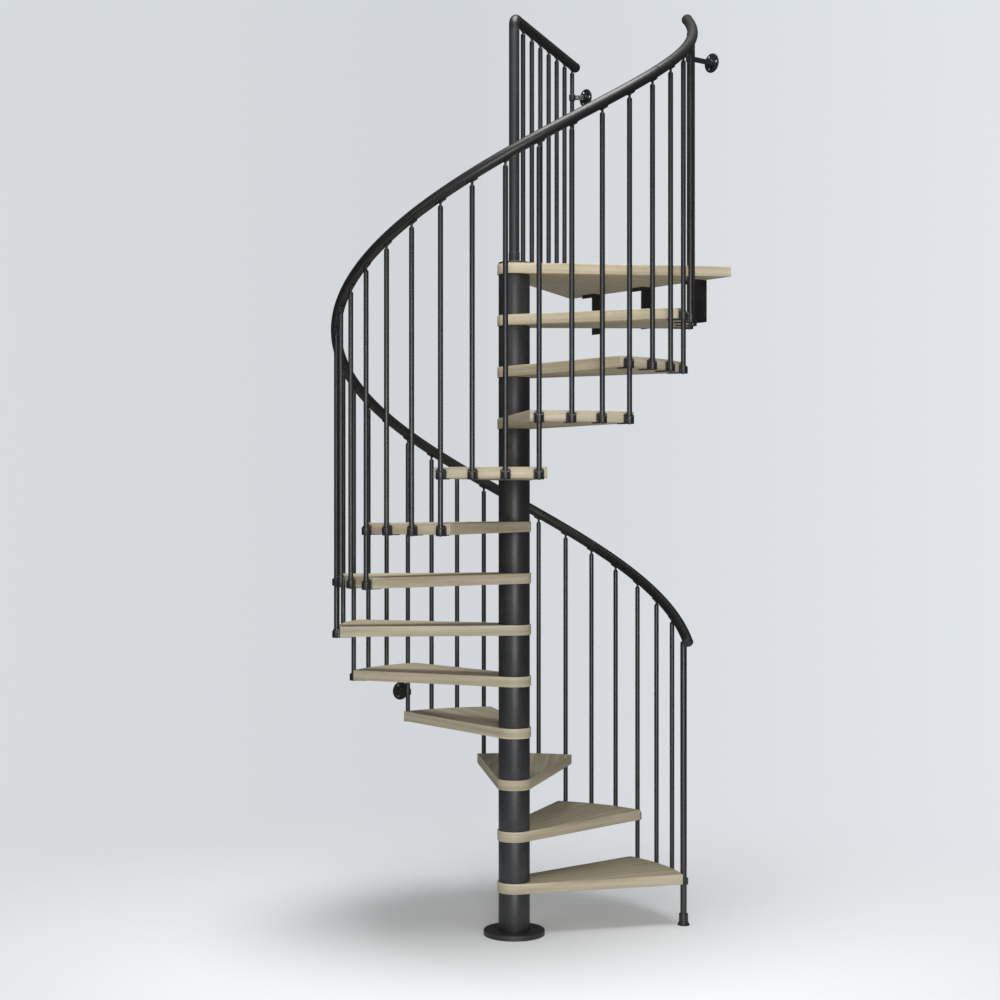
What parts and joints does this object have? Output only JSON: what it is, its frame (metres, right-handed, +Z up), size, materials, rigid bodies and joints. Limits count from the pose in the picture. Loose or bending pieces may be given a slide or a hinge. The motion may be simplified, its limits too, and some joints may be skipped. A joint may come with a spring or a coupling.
{
  "type": "spiral staircase",
  "caption": "Spiral staircase with pale oak treads on a black steel column, a helical handrail on round balusters, a triangular landing with a guard, and wall anchors.",
  "frame": {"origin": "on the column's axis at the underside of the round floor plate", "axes": "+Z up along the column; +X to the right and +Y away when the stair is seen from the front, with the first tread on the right"},
  "size_m": [1.7588, 1.7172, 4.0588],
  "materials": {
    "bleached_oak": "bleached and matt lacquered oak",
    "column_steel": "fine textured black powder coat",
    "baluster_steel": "smooth satin black powder coat",
    "fitting_plastic": "moulded black nylon",
    "rail_plastic": "satin black vinyl tube"
  },
  "bodies": {
    "root": {"base_plate": "column_steel", "central_pole": "column_steel", "column_spacers": "column_steel", "tread_01": "bleached_oak", "tread_02": "bleached_oak", "tread_03": "bleached_oak", "tread_04": "bleached_oak", "tread_05": "bleached_oak", "tread_06": "bleached_oak", "tread_07": "bleached_oak", "tread_08": "bleached_oak", "tread_09": "bleached_oak", "tread_10": "bleached_oak", "tread_11": "bleached_oak", "tread_12": "bleached_oak", "landing": "bleached_oak", "column_cap": "column_steel", "landing_post": "column_steel", "landing_elbow": "rail_plastic", "landing_rail": "rail_plastic", "landing_rail_cap": "rail_plastic", "landing_balusters": "baluster_steel", "landing_baluster_feet": "fitting_plastic", "landing_rail_saddles": "fitting_plastic", "landing_wall_brackets": "baluster_steel", "start_post": "baluster_steel", "start_post_foot": "fitting_plastic", "handrail_1": "rail_plastic", "handrail_2": "rail_plastic", "handrail_3": "rail_plastic", "handrail_4": "rail_plastic", "handrail_5": "rail_plastic", "handrail_joints": "rail_plastic", "handrail_end_caps": "rail_plastic", "balusters_lower": "baluster_steel", "balusters_middle": "baluster_steel", "balusters_upper": "baluster_steel", "tread_brackets_lower": "fitting_plastic", "tread_brackets_middle": "fitting_plastic", "tread_brackets_upper": "fitting_plastic", "rail_saddles_lower": "fitting_plastic", "rail_saddles_middle": "fitting_plastic", "rail_saddles_upper": "fitting_plastic", "wall_anchor_lower": "baluster_steel", "wall_anchor_upper": "baluster_steel", "wall_anchor_guard": "baluster_steel"}
  },
  "joints": []
}
